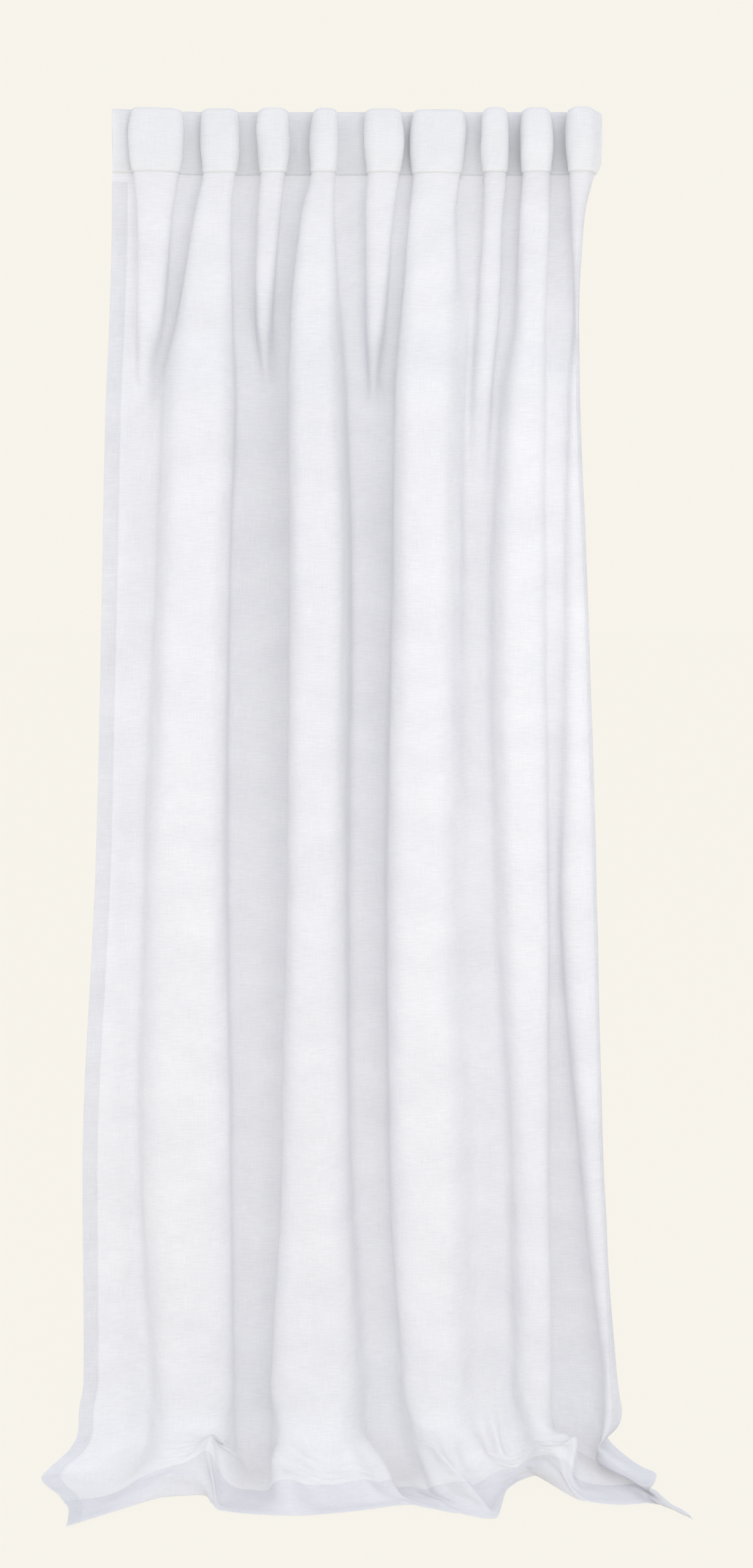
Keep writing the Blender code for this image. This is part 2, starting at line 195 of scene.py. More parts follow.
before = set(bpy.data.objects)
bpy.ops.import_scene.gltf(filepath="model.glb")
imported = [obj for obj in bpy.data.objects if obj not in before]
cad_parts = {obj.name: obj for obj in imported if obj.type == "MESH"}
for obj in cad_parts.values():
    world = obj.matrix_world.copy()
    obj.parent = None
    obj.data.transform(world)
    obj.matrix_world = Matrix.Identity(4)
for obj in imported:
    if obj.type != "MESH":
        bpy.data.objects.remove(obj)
cad_low, cad_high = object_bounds()
tab_names = sorted(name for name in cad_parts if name.startswith("hidden_tab"))
tab_centres = [sum(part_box(name), Vector()) / 2 for name in tab_names]
HUNG_WIDTH = (tab_centres[-1].x - tab_centres[0].x) / TABS_SPAN
TOP_Z = cad_high.z
FLOOR_Z = cad_low.z - CAD_ABOVE_FLOOR
ROD_HEIGHT = -FLOOR_Z
HEADING_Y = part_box("heading_band")[1].y - CLOTH_IN_BAND
HEADING_HEIGHT = TOP_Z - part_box("heading_band")[0].z


# ---------------------------------------------------------------------------------------------- cloth shape
def track(rows, at):
    """Values of the rows at a height, along smooth curves that don't overshoot their rows."""
    rows = np.asarray(rows, float)
    at = min(max(at, rows[0, 0]), rows[-1, 0])
    heights, values = rows[:, 0], rows[:, 1:]
    steps = np.diff(heights)[:, None]
    rises = np.diff(values, axis=0) / steps
    slopes = np.zeros_like(values)
    slopes[1:-1] = np.where(
        rises[1:] * rises[:-1] > 0, 2 * rises[1:] * rises[:-1] / (rises[1:] + rises[:-1] + 1e-12), 0
    )
    slopes[0], slopes[-1] = rises[0], rises[-1]
    i = min(max(int(np.searchsorted(heights, at, "right")) - 1, 0), len(steps) - 1)
    step, t = steps[i, 0], (at - heights[i]) / steps[i, 0]
    return (
        (2 * t**3 - 3 * t**2 + 1) * values[i]
        + (t**3 - 2 * t**2 + t) * step * slopes[i]
        + (3 * t**2 - 2 * t**3) * values[i + 1]
        + (t**3 - t**2) * step * slopes[i + 1]
    )


def smoothstep(low, high, at):
    """From 0 at low to 1 at high, and level at both."""
    share = np.clip((at - low) / (high - low), 0, 1)
    return share * share * (3 - 2 * share)


def along(points):
    """How far along their line each of the points is."""
    return np.concatenate([[0], np.cumsum(np.linalg.norm(np.diff(points, axis=0), axis=1))])


def resampled(points, count):
    """This many points, evenly apart along the same line."""
    distance = along(points)
    at = np.linspace(0, distance[-1], count)
    return np.stack([np.interp(at, distance, column) for column in points.T], axis=1)


def blurred(points, radius, step):
    """The points, a step apart, averaged over a radius, with both ends kept."""
    reach = int(3 * radius / step)
    weights = np.exp(-0.5 * (np.arange(-reach, reach + 1) * step / radius) ** 2)
    weights /= weights.sum()
    before = 2 * points[0] - points[reach:0:-1]
    after = 2 * points[-1] - points[-2 : -reach - 2 : -1]
    padded = np.concatenate([before, points, after])
    return np.stack([np.convolve(column, weights, "valid") for column in padded.T], axis=1)


def softened(rows, down_step, across_step):
    """Rows of points with the smallest wrinkles averaged out, and the four edges kept."""
    for step in (down_step, across_step):
        lines = rows.reshape(len(rows), -1)
        rows = blurred(lines, SOFTENING, step).reshape(rows.shape).swapaxes(0, 1)
    return rows


def rounded(points, radius, step=0.002):
    """The line through the points with its corners rounded, as points about a step apart."""
    return blurred(resampled(points, max(int(along(points)[-1] / step), 8)), radius, step)


def crown(left, right, reach):
    """The front of a fold: its edges, and its shoulders between them."""
    inset = SHOULDER_INSET * (right - left)
    edge_reach = EDGE_REACH * reach
    return [(left, edge_reach), (left + inset, reach), (right - inset, reach), (right, edge_reach)]


def corners(height):
    """Plan corners of the cloth at a height: x, and how far forward of the back plane."""
    below = smoothstep(3, 16, height)
    shares = np.array([HEADING_OVERHANG * (1 - below), below]) / HUNG_WIDTH * 100
    lasting = []
    passing = []
    for rows, lean in zip(FOLDS, OVERHANGS):
        if height > rows[-1][0] and not rows[-1][3]:
            continue
        left, right, reach, lift = track(rows, height)
        swell = (track(SWELL, height)[0] - 1) * (right - left) / 2
        left, right = left - swell, right + swell
        over = [min(shares[0] + shares[1] * side, (right - left) * MOST_OVERHANG) for side in lean]
        fold = (left, right, reach, lift, over)
        (lasting if rows[-1][3] else passing).append(fold)
    edge, edge_reach = track(LEFT_EDGE, height)
    points = [(edge, edge_reach)]
    for number, (left, right, reach, lift, over) in enumerate(lasting):
        points += [(left + over[0], lift * reach), *crown(left, right, reach)]
        if number + 1 < len(lasting):
            points.append((right - over[1], lasting[number + 1][3] * lasting[number + 1][2]))
    points.append(track(RIGHT_EDGE, height))
    for left, right, reach, lift, over in passing:
        middle = (left + right) / 2
        after = next(i for i in range(1, len(points)) if points[i - 1][0] <= middle < points[i][0])
        (x0, y0), (x1, y1) = points[after - 1], points[after]
        bulge = [(left + over[0], 0), *crown(left, right, reach), (right - over[1], 0)]
        points[after:after] = [(x, y + y0 + (y1 - y0) * (x - x0) / (x1 - x0)) for x, y in bulge]
    return np.array(points)


def plan_of(z):
    """The plan curve of the hanging cloth at height z, as long as the cloth is wide."""
    height = -z / ROD_HEIGHT * 100
    drawn = corners(height)
    back = HEADING_Y + track(HANG_BACK, height)[0]
    radius = ROUNDING + sum(more * smoothstep(low, high, height) for low, high, more in ROUNDER)
    shallow, deep = 0.2, 3.0
    # Deeper folds take more cloth, so the depth is halved in on until they take all of it.
    for _ in range(14):
        depth = (shallow + deep) / 2
        points = np.column_stack([drawn[:, 0] * HUNG_WIDTH / 100, back - depth * drawn[:, 1]])
        curve = rounded(points, radius)
        if along(curve)[-1] < FLAT_WIDTH:
            shallow = depth
        else:
            deep = depth
    return curve


def across(curve, places):
    """Points of the curve at these places across the flat cloth."""
    distance = along(curve)
    at = np.asarray(places) / FLAT_WIDTH * distance[-1]
    return np.stack([np.interp(at, distance, column) for column in curve.T], axis=1)


def hanging(downs, places):
    """Points of the hanging cloth: one row for each distance down from the top edge."""
    rows = []
    for down in downs:
        plan = across(plan_of(TOP_Z - down), places)
        rows.append(np.column_stack([plan, np.full(len(places), TOP_Z - down)]))
    return np.array(rows)


def hem_on_floor(places):
    """Where the hem lies on the floor at these places across the flat cloth."""
    across_hem, x, y = np.array(HEM_PATH).T
    fine = np.linspace(0, FLAT_WIDTH, 701)
    x, y = np.interp(fine, across_hem, x), np.interp(fine, across_hem, y)
    path = np.column_stack([x * HUNG_WIDTH / 100, -y])
    path = blurred(path, HEM_ROUNDING, fine[1])
    return np.stack([np.interp(places, fine, column) for column in path.T], axis=1)


def let_down(downs, places):
    """The lowest cloth turned forward over the floor, its pleats kept as ridges that fade towards the hem."""
    turn_z = FLOOR_Z + REST_GAP + FIRST_TURN_HEIGHT
    for _ in range(4):
        foot = across(plan_of(turn_z), places)
        axis_y = foot[:, 1].min() - TURN_INSET
        turn_z = FLOOR_Z + REST_GAP + (foot[:, 1].max() - axis_y)
    radius = foot[:, 1] - axis_y
    turn_down = TOP_Z - turn_z
    hem = hem_on_floor(places)
    hem_y = axis_y + radius * math.pi / 2 - (FLAT_LENGTH - turn_down)
    rows = []
    for down in downs:
        if down <= turn_down:
            rows.append(hanging([down], places)[0])
            continue
        spare = down - turn_down
        angle = np.minimum(spare / radius, math.pi / 2)
        flat = np.maximum(spare - radius * math.pi / 2, 0)
        y = axis_y + radius * np.cos(angle) - flat
        z = turn_z - radius * np.sin(angle)
        led = (spare / (FLAT_LENGTH - turn_down)) ** LED_POWER
        x = foot[:, 0] + (hem[:, 0] - foot[:, 0]) * led
        y = y + (hem[:, 1] - hem_y) * led
        z = FLOOR_Z + REST_GAP + (z - FLOOR_Z - REST_GAP) * (1 - led**2)
        rows.append(np.column_stack([x, y, z]))
    return np.array(rows)


def grid_mesh(name, rows):
    """A mesh over rows of points."""
    down, wide = rows.shape[:2]
    corner = (np.arange(down - 1)[:, None] * wide + np.arange(wide - 1)).reshape(-1)
    faces = np.column_stack([corner, corner + wide, corner + wide + 1, corner + 1])
    mesh = bpy.data.meshes.new(name)
    mesh.from_pydata(rows.reshape(-1, 3).tolist(), [], faces.tolist())
    mesh.shade_smooth()
    return mesh


def landed(downs, places):
    """The lowest cloth before it sinks, its landing points moved, and how firmly each of its points is held."""
    start = let_down(downs, places)
    held = 1 - smoothstep(HELD_LENGTH, FREED_LENGTH, np.asarray(downs) - downs[0])
    pins = np.repeat(held[:, None], len(places), axis=1)
    pins[-1] = HEM_HOLD
    moved = start.copy()
    for across_at, down_at, x, y, height in LANDINGS:
        apart = np.hypot(places[None, :] - across_at, np.asarray(downs)[:, None] - down_at)
        near = 1 - smoothstep(0, LANDING_REACH, apart)
        spread = 1 - smoothstep(0, 3 * LANDING_REACH, apart)
        centre = start[np.unravel_index(apart.argmin(), apart.shape)]
        move = np.array([x * HUNG_WIDTH / 100, -y, FLOOR_Z + height]) - centre
        free = pins < HEM_HOLD
        moved += move * (spread * free)[..., None]
        pins = np.maximum(pins, near * free)
    moved[..., 2] = np.maximum(moved[..., 2], FLOOR_Z + REST_GAP)
    return moved, pins


def pinned_piece(moved, pins, downs, places):
    """The lowest cloth as an object, with its pins, its stiffer hem and its flat shape."""
    piece = bpy.data.objects.new("dropping", grid_mesh("dropping", moved))
    bpy.context.scene.collection.objects.link(piece)
    group = piece.vertex_groups.new(name="held")
    for index, weight in enumerate(pins.reshape(-1)):
        if weight > 0.001:
            group.add([index], float(weight), "REPLACE")
    stiff = piece.vertex_groups.new(name="hem")
    in_hem = np.repeat(downs > FLAT_LENGTH - BOTTOM_HEM, len(places)).nonzero()[0]
    stiff.add(in_hem.tolist(), 1, "REPLACE")
    piece.shape_key_add(name="let_down")
    flat = piece.shape_key_add(name="flat")
    laid_flat = np.stack(np.broadcast_arrays(places[None, :], -np.asarray(downs)[:, None], 0.0), axis=-1)
    flat.data.foreach_set("co", laid_flat.reshape(-1))
    flat.value = 0
    return piece


def simulated_floor():
    bpy.ops.mesh.primitive_plane_add(size=4, location=(0, 0, FLOOR_Z))
    ground = bpy.context.object
    ground.modifiers.new("Collision", "COLLISION")
    ground.collision.thickness_outer = 0.002
    ground.collision.cloth_friction = 12
    return ground


def limp_cloth(piece):
    """Cloth physics on the piece: a light voile whose rest shape is the flat cut, stiffer in its hem."""
    cloth = piece.modifiers.new("Cloth", "CLOTH")
    settings = cloth.settings
    settings.rest_shape_key = piece.data.shape_keys.key_blocks["flat"]
    settings.quality = 8
    settings.mass = 0.12
    settings.air_damping = 2.0
    settings.tension_stiffness = settings.compression_stiffness = 12
    settings.shear_stiffness = 4
    settings.bending_stiffness = 4
    settings.vertex_group_bending = "hem"
    settings.bending_stiffness_max = 30
    settings.tension_damping = settings.compression_damping = 8
    settings.bending_damping = 0.5
    settings.vertex_group_mass = "held"
    settings.pin_stiffness = 4
    collisions = cloth.collision_settings
    collisions.use_self_collision = True
    collisions.self_distance_min = 0.003
    collisions.distance_min = 0.003
    collisions.collision_quality = 3
    cloth.point_cache.frame_start, cloth.point_cache.frame_end = 1, FRAMES


def settled(downs, places):
    """The lowest cloth after it has sunk on to the floor, held loosely where it comes to lie."""
    moved, pins = landed(downs, places)
    piece = pinned_piece(moved, pins, downs, places)
    ground = simulated_floor()
    limp_cloth(piece)
    scene = bpy.context.scene
    scene.frame_start, scene.frame_end = 1, FRAMES
    for number in range(1, FRAMES + 1):
        scene.frame_set(number)
    evaluated = piece.evaluated_get(bpy.context.evaluated_depsgraph_get())
    points = np.empty(len(piece.data.vertices) * 3, np.float32)
    evaluated.data.vertices.foreach_get("co", points)
    bpy.data.objects.remove(piece)
    bpy.data.objects.remove(ground)
    scene.frame_set(1)
    return points.reshape(moved.shape).astype(float)


def refined(values, old, new, axis):
    """values, known at old places along an axis, at new places, along Catmull-Rom curves."""
    values = np.moveaxis(values, axis, 0)
    slopes = np.gradient(values, old, axis=0)
    index = np.clip(np.searchsorted(old, new, "right") - 1, 0, len(old) - 2)
    step = (old[index + 1] - old[index])[:, None, None]
    t = ((new - old[index])[:, None, None]) / step
    made = (
        (2 * t**3 - 3 * t**2 + 1) * values[index]
        + (t**3 - 2 * t**2 + t) * step * slopes[index]
        + (3 * t**2 - 2 * t**3) * values[index + 1]
        + (t**3 - t**2) * step * slopes[index + 1]
    )
    return np.moveaxis(made, 0, axis)


def noise(shape, cells, seed):
    """Smooth random values from -1 to 1 over a grid, with this many cells each way."""
    random = np.random.default_rng(seed)
    coarse = random.uniform(-1, 1, (cells[0] + 1, cells[1] + 1, 1))
    tall = refined(coarse, np.linspace(0, 1, cells[0] + 1), np.linspace(0, 1, shape[0]), 0)
    return refined(tall, np.linspace(0, 1, cells[1] + 1), np.linspace(0, 1, shape[1]), 1)[..., 0]


def normals_of(rows):
    """Unit normals of the cloth at its rows of points, out of its face."""
    normal = np.cross(np.gradient(rows, axis=0), np.gradient(rows, axis=1))
    return normal / np.maximum(np.linalg.norm(normal, axis=2, keepdims=True), 1e-12)


def count(length, step):
    """How many points about a step apart it takes to cover a length."""
    return int(round(length / step)) + 1


def whole_cloth():
    """Places across and down the flat cloth, and its points as it hangs and lies."""
    places = np.linspace(0, FLAT_WIDTH, count(FLAT_WIDTH, COLUMN_STEP))
    drop_down = FLAT_LENGTH - SIMULATED_LENGTH
    join_down = drop_down + HELD_LENGTH / 4
    heading = np.linspace(0, HEADING_HEIGHT, HEADING_ROWS)
    body = np.linspace(HEADING_HEIGHT, join_down, count(join_down - HEADING_HEIGHT, ROW_STEP))
    upper = np.concatenate([heading[:-1], body[:-1]])
    lower = np.linspace(join_down, FLAT_LENGTH, count(FLAT_LENGTH - join_down, LYING_ROW_STEP))
    coarse_places = np.linspace(0, FLAT_WIDTH, count(FLAT_WIDTH, SIMULATED_COLUMN_STEP))
    coarse_downs = np.linspace(drop_down, FLAT_LENGTH, count(SIMULATED_LENGTH, SIMULATED_ROW_STEP))
    dropped = settled(coarse_downs, coarse_places)
    dropped = softened(dropped, coarse_downs[1] - coarse_downs[0], coarse_places[1])
    dropped = refined(refined(dropped, coarse_downs, lower, 0), coarse_places, places, 1)
    dropped[..., 2] = np.maximum(dropped[..., 2], FLOOR_Z + LEAST_ABOVE_FLOOR)
    # The cloth as hung passes smoothly into the cloth as it settled.
    designed = hanging(lower[lower < drop_down + HELD_LENGTH], places)
    share = smoothstep(join_down, drop_down + HELD_LENGTH, lower[: len(designed)])[:, None, None]
    dropped[: len(designed)] = designed * (1 - share) + dropped[: len(designed)] * share
    rows = np.concatenate([hanging(upper, places), dropped])
    downs = np.concatenate([upper, lower])
    wrinkles = sum(size * noise(rows.shape[:2], cells, seed) for size, cells, seed in WRINKLES)
    sideways = np.abs(normals_of(rows)[..., 0]) ** 2
    rows[..., 2] -= TOP_DROP * sideways * (1 - smoothstep(0, TOP_DROP_LENGTH, downs))[:, None]
    wrinkled = smoothstep(*WRINKLES_START, downs) * (1 - smoothstep(*WRINKLES_STOP, downs))
    rows = rows + normals_of(rows) * (wrinkles * wrinkled[:, None])[..., None]
    return places, downs, rows


# ------------------------------------------------------------------------------------------------- materials
def node_tree(name):
    """A new material with no nodes."""
    made = bpy.data.materials.new(name)
    made.use_nodes = True
    made.node_tree.nodes.clear()
    return made, made.node_tree.nodes, made.node_tree.links


def stretched_noise(nodes, links, source, scale, detail, rough):
    """Noise over coordinates in metres, with scale cells a metre each way."""
    mapping = nodes.new("ShaderNodeMapping")
    mapping.inputs["Scale"].default_value = scale
    links.new(source, mapping.inputs["Vector"])
    noise_node = nodes.new("ShaderNodeTexNoise")
    noise_node.inputs["Scale"].default_value = 1
    noise_node.inputs["Detail"].default_value = detail
    noise_node.inputs["Roughness"].default_value = rough
    links.new(mapping.outputs[0], noise_node.inputs["Vector"])
    return noise_node.outputs["Fac"]


def summed(nodes, links, parts):
    """The sum of values, each with its own weight."""
    total = None
    for value, weight in parts:
        scaled = nodes.new("ShaderNodeMath")
        scaled.operation = "MULTIPLY_ADD"
        links.new(value, scaled.inputs[0])
        scaled.inputs[1].default_value = weight
        if total is None:
            scaled.inputs[2].default_value = 0
        else:
            links.new(total, scaled.inputs[2])
        total = scaled.outputs[0]
    return total


def woven(name, thin, thick, through, pitch=0.0009, slub=1.0, relief=0.00035):
    """A plain weave with slubs: thin and thick are its colours where yarn is sparse and where it is dense."""
    made, nodes, links = node_tree(name)
    output = nodes.new("ShaderNodeOutputMaterial")
    flat = nodes.new("ShaderNodeTexCoord").outputs["UV"]
    warp = stretched_noise(nodes, links, flat, (1 / pitch, 28, 1), 2, 0.6)
    weft = stretched_noise(nodes, links, flat, (28, 1 / pitch, 1), 2, 0.6)
    slubs = stretched_noise(nodes, links, flat, (45, 420, 1), 3, 0.65)
    clouds = stretched_noise(nodes, links, flat, (9, 14, 1), 2, 0.5)
    density = summed(nodes, links, ((warp, 0.3), (weft, 0.3), (slubs, 0.3 * slub), (clouds, 0.25)))
    ramp = nodes.new("ShaderNodeValToRGB")
    ramp.color_ramp.elements[0].position, ramp.color_ramp.elements[1].position = 0.40, 0.72
    ramp.color_ramp.elements[0].color = (*thin, 1)
    ramp.color_ramp.elements[1].color = (*thick, 1)
    links.new(density, ramp.inputs["Fac"])
    bump = nodes.new("ShaderNodeBump")
    bump.inputs["Distance"].default_value = relief
    bump.inputs["Strength"].default_value = 0.6
    links.new(density, bump.inputs["Height"])
    shader = nodes.new("ShaderNodeBsdfPrincipled")
    shader.inputs["Sheen Weight"].default_value = 0.12
    shader.inputs["Sheen Roughness"].default_value = 0.5
    shader.inputs["Specular IOR Level"].default_value = 0.15
    rough = nodes.new("ShaderNodeMapRange")
    rough.inputs["To Min"].default_value = 0.95
    rough.inputs["To Max"].default_value = 0.75
    links.new(density, rough.inputs["Value"])
    links.new(rough.outputs[0], shader.inputs["Roughness"])
    links.new(ramp.outputs["Color"], shader.inputs["Base Color"])
    links.new(bump.outputs["Normal"], shader.inputs["Normal"])
    if not through:
        links.new(shader.outputs[0], output.inputs["Surface"])
        return made
    back = nodes.new("ShaderNodeBsdfTranslucent")
    links.new(ramp.outputs["Color"], back.inputs["Color"])
    mix = nodes.new("ShaderNodeMixShader")
    mix.inputs[0].default_value = through
    links.new(shader.outputs[0], mix.inputs[1])
    links.new(back.outputs[0], mix.inputs[2])
    links.new(mix.outputs[0], output.inputs["Surface"])
    return made


voile = woven("voile", (0.70, 0.703, 0.735), (0.83, 0.832, 0.86), 0.30)
heading_cloth = woven("heading_cloth", (0.65, 0.658, 0.685), (0.757, 0.765, 0.787), 0.04)
# The hem's colours are lighter than the voile's: painted light that lifts the shade where the doubled hem blocks
# light from behind.
hem_cloth = woven("hem_cloth", (0.80, 0.806, 0.83), (0.89, 0.896, 0.92), 0.34)
webbing = woven("webbing", (0.70, 0.70, 0.715), (0.86, 0.86, 0.87), 0, pitch=0.0016, slub=0.5, relief=0.0005)
stitching = woven("stitching", (0.78, 0.78, 0.80), (0.90, 0.90, 0.92), 0, pitch=0.0005, slub=0.2)


# --------------------------------------------------------------------------------------------------- pieces
def linked(name, mesh, look, body="panel", replaced=()):
    """A piece in the scene with its material, riding on its body and standing for the nodes it replaces."""
    piece = bpy.data.objects.new(name, mesh)
    bpy.context.scene.collection.objects.link(piece)
    mesh.materials.append(look)
    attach(piece, body)
    if replaced:
        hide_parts(*replaced)
    return piece


def cloth_mesh(name, rows, across_at, down_at):
    """A mesh over a grid of points, with the flat cloth's own metres as its UVs."""
    mesh = grid_mesh(name, rows)
    uv = np.stack(np.broadcast_arrays(across_at, -np.asarray(down_at)), axis=-1).reshape(-1, 2)
    index = np.empty(len(mesh.loops), np.int32)
    mesh.loops.foreach_get("vertex_index", index)
    mesh.uv_layers.new(name="flat").data.foreach_set("uv", uv[index].reshape(-1).astype(np.float32))
    return mesh


def capsules(name, starts, ends, outs, radius):
    """One mesh of short round-ended stitches, each from its start to its end."""
    sides, ring = 6, ((0.0, 0.35), (0.18, 1.0), (0.82, 1.0), (1.0, 0.35))
    along_it = ends - starts
    length = np.linalg.norm(along_it, axis=1, keepdims=True)
    sideways = np.cross(along_it / length, outs)
    angle = np.arange(sides) * 2 * math.pi / sides
    points = []
    for share, size in ring:
        centre = starts + along_it * share
        round_it = sideways[:, None] * np.cos(angle)[:, None] + outs[:, None] * np.sin(angle)[:, None]
        points.append(centre[:, None] + round_it * radius * size)
    points = np.stack(points, axis=1).reshape(-1, 3)
    faces = []
    for base in range(0, len(points), sides * len(ring)):
        for level in range(len(ring) - 1):
            low = base + level * sides
            faces += [
                (low + i, low + (i + 1) % sides, low + sides + (i + 1) % sides, low + sides + i)
                for i in range(sides)
            ]
        faces.append(tuple(base + i for i in reversed(range(sides))))
        faces.append(tuple(base + sides * (len(ring) - 1) + i for i in range(sides)))
    mesh = bpy.data.meshes.new(name)
    mesh.from_pydata(points.tolist(), [], faces)
    mesh.shade_smooth()
    uv = np.column_stack([np.arange(len(points)) * radius, points[:, 2]])
    index = np.empty(len(mesh.loops), np.int32)
    mesh.loops.foreach_get("vertex_index", index)
    mesh.uv_layers.new(name="flat").data.foreach_set("uv", uv[index].reshape(-1).astype(np.float32))
    return mesh


def stitch_row(name, line, out, node):
    """A row of stitches along a line on the cloth, lying on its face."""
    distance = along(line)
    starts_at = np.arange(STITCH_PITCH / 2, distance[-1] - STITCH_PITCH, STITCH_PITCH)
    ends_at = starts_at + STITCH_LENGTH

    def at(places_on_line, values):
        return np.stack([np.interp(places_on_line, distance, column) for column in values.T], axis=1)

    outs = at((starts_at + ends_at) / 2, out)
    outs /= np.linalg.norm(outs, axis=1, keepdims=True)
    starts, ends = at(starts_at, line), at(ends_at, line)
    mesh = capsules(name, starts, ends, outs, STITCH_RADIUS)
    return linked(name, mesh, stitching, replaced=(node,))


places, downs, rows = whole_cloth()
outs = normals_of(rows)

# The main cloth, one sheet from the top edge to the bottom hem.
cloth = linked(
    "curtain_cloth",
    cloth_mesh("curtain_cloth", rows, places[None, :], downs[:, None]),
    voile,
    replaced=("curtain_panel",),
)

# The heading: the cloth turned down over its own face and sewn at the seam, so it stands proud and puffs out.
top = downs <= HEADING_HEIGHT + 1e-6
face, face_outs, face_downs = rows[top], outs[top], downs[top]
puff = HEADING_PUFF * np.sin(math.pi * np.clip(face_downs / HEADING_HEIGHT, 0, 1)) ** PUFF_POWER
gathers = 1 + GATHERS * noise((len(face), len(places)), GATHER_CELLS, GATHER_SEED)
raised = HEADING_PROUD + puff[:, None] * gathers
front = face + face_outs * raised[..., None]
front[0, :, 2] += 0.0004
fold = face[:1] + face_outs[:1] * HEADING_PROUD / 2
fold[..., 2] += TOP_FOLD_RISE
tucked_behind = face[1:2] - face_outs[1:2] * 0.0007
under = face[-1:] + face_outs[-1:] * SEWN_GAP
band_rows = np.concatenate([tucked_behind, face[:1] - face_outs[:1] * 0.0005, fold, front, under])
band_downs = np.concatenate([[-0.006, -0.003, -0.001], face_downs, face_downs[-1:] + 0.001])
heading = linked(
    "heading_cloth",
    cloth_mesh("heading_cloth", band_rows, places[None, :], band_downs[:, None]),
    heading_cloth,
    replaced=("heading_band",),
)

# The tape behind the heading, a closed strip that stops short of the cloth's edges.
taped = (face_downs > TAPE_INSET) & (face_downs < HEADING_HEIGHT - TAPE_INSET)
inside = slice(TAPE_COLUMNS_IN, -TAPE_COLUMNS_IN)
tape_face, tape_outs = face[taped][:, inside], face_outs[taped][:, inside]
near_side, far_side = tape_face - tape_outs * TAPE_NEAR, tape_face - tape_outs * TAPE_FAR
tape_rows = np.concatenate([near_side, far_side[::-1], near_side[:1]])
tape_downs = np.concatenate([face_downs[taped], face_downs[taped][::-1], face_downs[taped][:1]])
tape = linked(
    "heading_webbing",
    cloth_mesh("heading_webbing", tape_rows, places[None, inside], tape_downs[:, None]),
    webbing,
    replaced=("heading_tape",),
)


def turned_hem(name, edge, edge_outs, across_at, down_at, look):
    """The turned-back layer of a hem. Its points run from the cloth's edge, first along axis 1, inwards."""
    outward = edge[:, :1] - edge[:, 1:2]
    outward /= np.linalg.norm(outward, axis=2, keepdims=True)
    lip = edge[:, :1] + outward * HEM_LIP - edge_outs[:, :1] * HEM_BEHIND / 2
    behind = np.full(edge.shape[1], HEM_BEHIND)
    behind[-1] = SEWN_GAP
    layer = edge - edge_outs * behind[:, None]
    made = np.concatenate([edge[:, :1], lip, layer], axis=1)
    made[..., 2] = np.maximum(made[..., 2], FLOOR_Z + 0.0006)
    widened = np.concatenate([across_at[:, :1], across_at[:, :1], across_at], axis=1)
    lengthened = np.concatenate([down_at[:, :1], down_at[:, :1], down_at], axis=1)
    mesh = cloth_mesh(name, made, widened, lengthened)
    return linked(f"turned_{name}", mesh, look, replaced=(name,))


across_grid, down_grid = (np.array(grid) for grid in np.broadcast_arrays(places[None, :], downs[:, None]))
below = downs > HEADING_HEIGHT
wide = int(round(SIDE_HEM / places[1])) + 1
left = (below.nonzero()[0][:, None], np.arange(wide)[None, :])
right = (below.nonzero()[0][:, None], len(places) - 1 - np.arange(wide)[None, :])
deep = (downs > FLAT_LENGTH - BOTTOM_HEM).sum()
low = (np.arange(len(places))[:, None], len(downs) - 1 - np.arange(deep)[None, :])
hems = [
    turned_hem("side_hem_left", rows[left], outs[left], across_grid[left], down_grid[left], hem_cloth),
    turned_hem("side_hem_right", rows[right], outs[right], across_grid[right], down_grid[right], hem_cloth),
    turned_hem(
        "bottom_hem",
        rows.swapaxes(0, 1)[low],
        outs.swapaxes(0, 1)[low],
        across_grid.T[low],
        down_grid.T[low],
        hem_cloth,
    ),
]

# Rows of stitches.
lift = outs * (STITCH_RADIUS * STITCH_PROUD)
seam_row = int(np.abs(face_downs - (HEADING_HEIGHT - SEAM_INSET)).argmin())
top_row = int(np.abs(face_downs - SEAM_INSET).argmin())
hem_row = int(np.abs(downs - (FLAT_LENGTH - BOTTOM_HEM + SEAM_INSET)).argmin())
threads = [
    stitch_row("heading_top_stitches", front[top_row], face_outs[top_row], "heading_top_thread"),
    stitch_row("heading_seam_stitches", front[seam_row], face_outs[seam_row], "heading_seam_thread"),
    stitch_row("bottom_hem_stitches", (rows + lift)[hem_row], outs[hem_row], "bottom_hem_thread"),
]
for side, column in (("left", wide - 2), ("right", len(places) + 1 - wide)):
    line, line_outs = (rows + lift)[below, column], outs[below, column]
    threads.append(stitch_row(f"side_stitches_{side}", line, line_outs, f"side_thread_{side}"))


